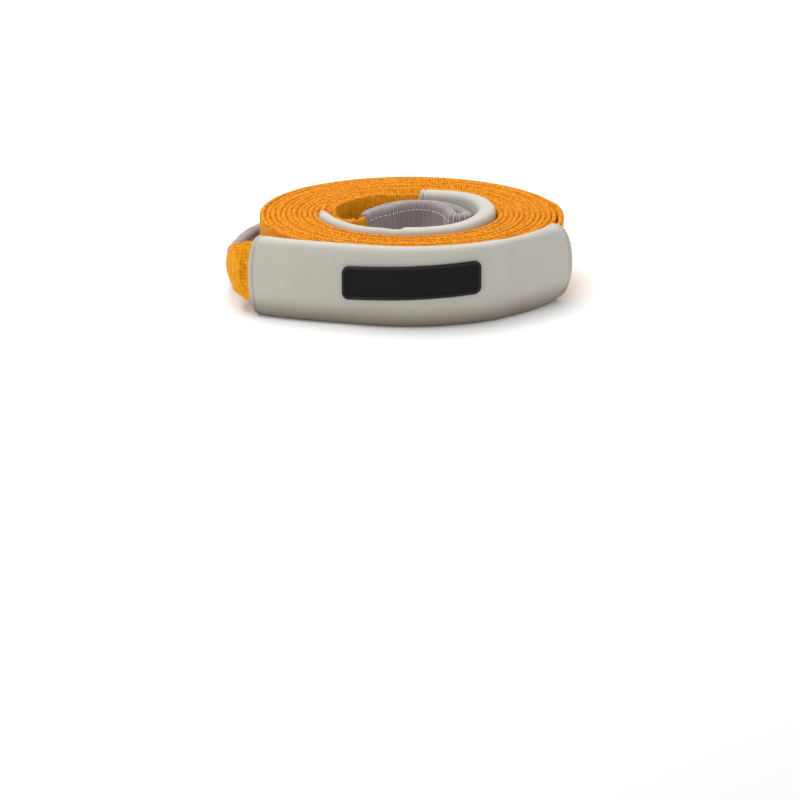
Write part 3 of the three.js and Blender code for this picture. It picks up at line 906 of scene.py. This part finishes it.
def inner_half(degrees):
    step = HALF_STRAP * ease(degrees, INNER_DOUBLED_FROM, INNER_DOUBLED_FROM + 3)
    dimple = 0.8 * math.exp(-(((degrees - INNER_DOUBLED_FROM) / 1.6) ** 2))
    thin_tip = 0.9 * (1 - ease(degrees, 180, 190))
    return HALF_STRAP + step - dimple - thin_tip


OUTER_FULLNESS = 1.2
outer_sleeve_line = wear_sleeve(
    "outer_wear_sleeve_cloth", outer_run, 217.5, 336.0, outer_half, "outer_wear_sleeve", 4.0,
    OUTER_FULLNESS, (3.5, 9.5), level_top,
)
inner_sleeve_line = wear_sleeve(
    "inner_wear_sleeve_cloth", inner_run, 179.5, 443.0, inner_half, "inner_wear_sleeve", 3.0,
    0.3, (0.0, 0.0), settling_top,
)

# %% [markdown]
# ## The eye sleeves
#
# A straight tube of cloth on a tight hairpin has too much cloth on the inside of the bend,
# so it is gathered all the way along. The pleats are modelled as waves across the strap,
# uneven in size and spacing, and deepest on the two broad sides.


# %% Gathered eye sleeves
EYE_CLOTH = 1.5
EYE_ROOM = 1.8  # from the strap's face to the cloth's outer skin
EYE_EDGE_ROOM = 2.3  # and from its edge
EYE_ROUND = 4.0


def eye_sleeve(name, rows_round, share_from, share_to, node, seed):
    """A gathered tube on the strap between two shares of the way round an eye."""
    table = smooth_route(rows_round, 0.6)
    along = lengths(table[:, :2])
    inside = (along >= share_from * along[-1]) & (along <= share_to * along[-1])
    table, along = table[inside], along[inside] - along[inside][0]
    length = along[-1]
    across = right_hand(table[:, :2])
    draw = np.random.default_rng(seed)
    wander = np.interp(along, np.linspace(0, length, 40), np.cumsum(draw.normal(0, 0.35, 40)))
    deep = np.interp(along, np.linspace(0, length, 60), draw.uniform(0.55, 1.1, 60))
    count = 44
    walls = []
    # The crown value marks the pleats' tops and valleys, for the finish's painted highlight and
    # shade.
    crown = np.full((len(along), count), 0.3)
    for inset in (0.0, EYE_CLOTH):
        wall = np.empty((len(along), count, 3))
        for i, distance in enumerate(along):
            from_end = min(distance, length - distance)
            hem = 1 - math.exp(-((from_end / 3.0) ** 2))
            lip = (0.35 if inset else 0.45) * max(0.0, 1 - from_end / LIP_LENGTH)
            half = table[i, 2] + EYE_ROOM - inset - lip
            low = max(table[i, 3] - EYE_EDGE_ROOM + inset, SKIN_GAP)
            high = table[i, 4] + EYE_EDGE_ROOM - inset
            radius = EYE_ROUND - inset
            ring, around = soft_oblong(half, low, high, radius, radius, count)
            s, z = ring.T
            low = table[i, 3] - EYE_EDGE_ROOM + inset
            up = (z - (low + high) / 2) / ((high - low) / 2)
            phase = 2 * math.pi * distance / PLEAT_PITCH + wander[i] * 2.0
            pleat = np.cos(phase + 0.8 * up + 0.5 * np.sin(3 * up + distance / 9.0))
            swell = (0.42 * pleat * deep[i] + 0.25 * (1 - up**2)) * hem
            if inset:
                swell = swell * 0.35
            else:
                crown[i] = 0.5 + 0.5 * pleat * hem
            out = s + table[i, 5] * (1 - up**2) + s / half * swell
            wall[i, :, :2] = table[i, :2] + across[i] * out[:, None]
            wall[i, :, 2] = np.maximum(z + up**5 * swell * 0.9, 0.03)
        walls.append(wall)
    skin = loft(
        name,
        np.concatenate([walls[0], walls[1][::-1]]),
        np.concatenate([along, along[::-1]]),
        np.linspace(0, around, count + 1),
        mauve_eye_cloth,
        joined=True,
        crown=np.concatenate([crown, crown[::-1]]),
    )
    piece = settle(skin, node)
    return table, across, along


outer_eye_line = eye_sleeve(
    "outer_eye_cloth", outer_eye_rows, 0.25, 0.82, "outer_eye_sleeve", 11
)
inner_eye_line = eye_sleeve(
    "inner_eye_cloth", inner_eye_rows, 0.03, 0.96, "inner_eye_sleeve", 12
)

# %% [markdown]
# ## Stitches
#
# A machine stitch is a short run of thread that dips into the cloth at both ends. Each one
# here is a small capsule, bent down at its ends, and a whole seam is one mesh of them.


# %% The stitch helper
def seam(name, centres, forward, outward, long, thick, material, node):
    """Stitches in mm at the centres, each lying along forward and standing out along outward."""
    points, faces = [], []
    sides, steps = 6, 7
    for c, f, n in zip(centres, forward, outward):
        f, n = f / np.linalg.norm(f), n / np.linalg.norm(n)
        n = n - f * (f @ n)
        n /= np.linalg.norm(n)
        b = np.cross(f, n)
        base = len(points)
        for k in range(steps):
            t = -1 + 2 * k / (steps - 1)
            radius = thick * math.sqrt(max(0.06, 1 - t**4))
            middle_point = c + f * (t * long / 2) - n * (thick * 1.2 * t**2)
            for j in range(sides):
                a = 2 * math.pi * j / sides
                points.append(middle_point + radius * (math.cos(a) * n + math.sin(a) * b))
        for k in range(steps - 1):
            for j in range(sides):
                p, q = base + k * sides + j, base + k * sides + (j + 1) % sides
                faces.append((p, p + sides, q + sides, q))
        faces.append([base + j for j in range(sides)])
        last = base + (steps - 1) * sides
        faces.append([last + j for j in range(sides)][::-1])
    mesh = bpy.data.meshes.new(name)
    mesh.from_pydata((np.array(points) * MM).tolist(), [], [list(f)[::-1] for f in faces])
    return settle(new_piece(name, mesh, material), node)


def eye_seam(name, line, node, drop, stitch_gap, sides):
    """A dotted seam along an eye sleeve, drop mm below its top edge, on the chosen sides."""
    table, across, along = line
    centres, forward, outward = [], [], []
    for side in sides:
        for distance in np.arange(4.0, along[-1] - 4.0, stitch_gap):
            i = int(np.searchsorted(along, distance))
            out = side * (table[i, 2] + EYE_ROOM + 0.55) + table[i, 5] * 0.3
            xy = table[i, :2] + across[i] * out
            ahead = table[min(i + 2, len(table) - 1), :2] - table[i - 2, :2]
            centres.append(np.array([*xy, table[i, 4] + EYE_EDGE_ROOM - drop]))
            forward.append(np.array([*ahead, 0.0]))
            outward.append(np.array([*(side * across[i]), 0.0]))
    return seam(name, centres, forward, outward, 3.0, 0.42, pale_thread, node)


eye_seam("inner_eye_stitches", inner_eye_line, "inner_eye_sleeve", 7.0, 4.9, (1, -1))
eye_seam("outer_eye_stitches", outer_eye_line, "outer_eye_sleeve", 7.0, 4.9, (1, -1))

# %% [markdown]
# The hems of the wear sleeves have a fine grey stitch line on their outer face, just
# where the cloth is pulled in.


# %% Hem stitches
def hem_seam(name, line, node, sides=(1,)):
    """Stitches on the sleeve's own skin, along its two pulled-in rings."""
    wall, across, at = line
    centres, forward, outward = [], [], []
    for distance in (HEM_WIDTH, at[-1] - HEM_WIDTH):
        i = int(np.argmin(np.abs(at - distance)))
        middle_of_ring = wall[i, :, :2].mean(axis=0)
        offset = (wall[i, :, :2] - middle_of_ring) @ across[i]
        for side in sides:
            points = wall[i][offset * side > 0.6 * np.abs(offset).max()]
            points = points[np.argsort(points[:, 2])]
            climb = lengths(points)
            for up_to in np.arange(1.0, climb[-1] - 1.0, 2.7):
                here, there = resampled([up_to, up_to + 0.5], climb, points)
                normal = np.array([*(side * across[i]), 0.0])
                centres.append(here + normal * 0.12)
                forward.append(there - here)
                outward.append(normal)
    return seam(name, centres, forward, outward, 1.9, 0.3, grey_thread, node)


hem_seam("outer_sleeve_hem_stitches", outer_sleeve_line, "outer_wear_sleeve")
hem_seam("inner_sleeve_hem_stitches", inner_sleeve_line, "inner_wear_sleeve", (1, -1))

# %% [markdown]
# ## The label patch
#
# The patch is a moulded rubber plate with a raised rim and a sunk, grained field. The field
# is left bare. It is built from rounded outlines, each inside the last, so the rim follows
# the corners exactly, and then the whole plate is bent round the sleeve.

# %% The patch
PATCH_LENGTH, PATCH_HEIGHT, PATCH_CORNER = 116.0, 28.0, 6.0
PATCH_ANGLE = 270.3
PATCH_MIDDLE = 39.0
PATCH_TILT = 2.2
FIELD_RINGS = 14


def rounded_outline(half_x, half_y, radius, count):
    """count points round an oblong with round corners."""
    radius = max(0.05, min(radius, half_x, half_y))
    path = []
    for cx, cy, start in ((1, 1, 0), (-1, 1, 90), (-1, -1, 180), (1, -1, 270)):
        for a in np.linspace(start, start + 90, 13):
            r = math.radians(a)
            path.append((cx * (half_x - radius) + radius * math.cos(r),
                         cy * (half_y - radius) + radius * math.sin(r)))
    path = np.array([*path, path[0]])
    along = lengths(path)
    return resampled(np.linspace(0, along[-1], count, endpoint=False), along, path)


def label_patch():
    route = smooth_route(outer_run, 0.5)
    across = right_hand(route)
    along = lengths(route)
    middle_at = along[np.argmin(np.linalg.norm(route - polar(PATCH_ANGLE, OUTER_SEAT), axis=1))]
    seat = 2 * HALF_STRAP + SLEEVE_ROOM + 0.35
    stretch = (OUTER_SEAT + seat) / OUTER_SEAT
    profile = [(0.0, 0.0), (0.0, 0.6), (0.08, 1.3), (0.3, 1.9), (0.7, 2.25), (1.3, 2.35),
               (1.9, 2.25), (2.3, 1.9), (2.55, 1.4), (2.8, 1.05), (3.3, 0.95), (3.8, 0.95),
               (4.2, 0.97), *((d, 1.0) for d in np.arange(4.6, 13.6, 0.8))]
    count = 360
    rings = []
    for inset, height in profile:
        outline = rounded_outline(
            PATCH_LENGTH / 2 - inset, PATCH_HEIGHT / 2 - inset, PATCH_CORNER - 0.8 * inset, count
        )
        rings.append(np.column_stack([outline, np.full(count, height)]))
    rings.append(np.column_stack([rings[-1][:, 0], rings[-1][:, 1] * 0.02, rings[-1][:, 2]]))
    backed = (rings[0], rings[8], rings[-1])
    flat_back = [np.column_stack([r[:, :2], np.zeros(count)]) for r in backed]
    stack = np.array([*flat_back[::-1][:-1], *rings])
    # The rim value marks the rim: the finish makes it smooth there and paints it paler, as a
    # highlight.
    rim = np.clip((stack[:, :, 2] - 1.1) / 0.8, 0, 1)
    rim[:2] = 1.0
    field = np.zeros(stack.shape[:2], bool)
    field[-FIELD_RINGS:] = True
    pebbles = (
        np.sin(stack[:, :, 0] * 3.9) * np.sin(stack[:, :, 1] * 4.3)
        + np.sin(stack[:, :, 0] * 2.3 + stack[:, :, 1] * 3.1)
    )
    stack[:, :, 2] += np.where(field, 0.03 * pebbles, 0)
    at = middle_at + stack[:, :, 0] / stretch
    x, y = (np.interp(at, along, route[:, k]) for k in (0, 1))
    nx, ny = (np.interp(at, along, across[:, k]) for k in (0, 1))
    z = PATCH_MIDDLE + stack[:, :, 1] + stack[:, :, 0] * math.tan(math.radians(PATCH_TILT))
    belly = OUTER_FULLNESS * (1 - ((z - SLEEVE_MIDDLE) / SLEEVE_MIDDLE) ** 2)
    out = seat + belly + stack[:, :, 2]
    grid = np.stack([x + nx * out, y + ny * out, z], axis=2)
    skin = loft(
        "rubber_patch", grid, np.linspace(0, 30, len(grid)), np.linspace(0, 260, count + 1),
        black_rubber, crown=rim,
    )
    return settle(skin, "label_patch")


label_patch()

# %% [markdown]
# ## Floor, light and camera
#
# The strap is shown on a plain pale floor, with a big soft light overhead, weaker ones from
# the front and the side, one for the floor behind it, and an even white surround, so that
# shadows stay faint. The camera has a long lens, far away, a little above the roll and
# looking slightly down.


# %% Floor
floor_mesh = bpy.data.meshes.new("floor")
floor_mesh.from_pydata(
    [(-6, -6, 0), (6, -6, 0), (6, 8, 0), (-6, 8, 0)], [], [(0, 1, 2, 3)]
)
floor_finish, _, floor_shader = finish_named("pale_floor")
floor_shader.inputs["Base Color"].default_value = (0.9, 0.9, 0.9, 1.0)
floor_shader.inputs["Roughness"].default_value = 0.9
floor = new_piece("floor", floor_mesh, floor_finish)


# %% Lights and surround
def soft_light(name, place, aim, width, height, power, colour=(1.0, 1.0, 1.0)):
    lamp = bpy.data.lights.new(name, "AREA")
    lamp.shape, lamp.size, lamp.size_y = "RECTANGLE", width, height
    lamp.energy, lamp.color = power, colour
    piece = bpy.data.objects.new(name, lamp)
    bpy.context.scene.collection.objects.link(piece)
    piece.location = place
    direction = np.array(aim, float) - np.array(place, float)
    piece.rotation_mode = "QUATERNION"
    piece.rotation_quaternion = Vector(direction).to_track_quat("-Z", "Y")
    return piece


soft_light("overhead_light", (-0.35, 0.05, 1.2), (0, 0, 0), 0.9, 0.9, 11.0)
soft_light("front_light", (-0.7, -1.5, 0.8), (0, 0, 0.03), 0.8, 0.7, 5.5)
soft_light("side_light", (1.3, -0.3, 0.6), (0, 0, 0.03), 0.6, 0.8, 2.5)
soft_light("floor_light", (0.0, 1.9, 1.9), (0, 2.2, 0), 3.2, 2.2, 55.0)

world = bpy.data.worlds.new("white_surround")
bpy.context.scene.world = world
world.use_nodes = True
world.node_tree.nodes["Background"].inputs[0].default_value = (1.0, 1.0, 1.0, 1.0)
world.node_tree.nodes["Background"].inputs[1].default_value = 0.5
bpy.context.scene.view_settings.view_transform = "Standard"

# %% Camera
lens = bpy.data.cameras.new("camera")
lens.lens, lens.sensor_width = 103.5, 36.0
lens.clip_start, lens.clip_end = 0.05, 50.0
camera = bpy.data.objects.new("camera", lens)
bpy.context.scene.collection.objects.link(camera)
camera.location = (0.00323, -1.9264, 0.5658)
camera.rotation_euler = (math.radians(70.7), 0.0, 0.0)
bpy.context.scene.camera = camera
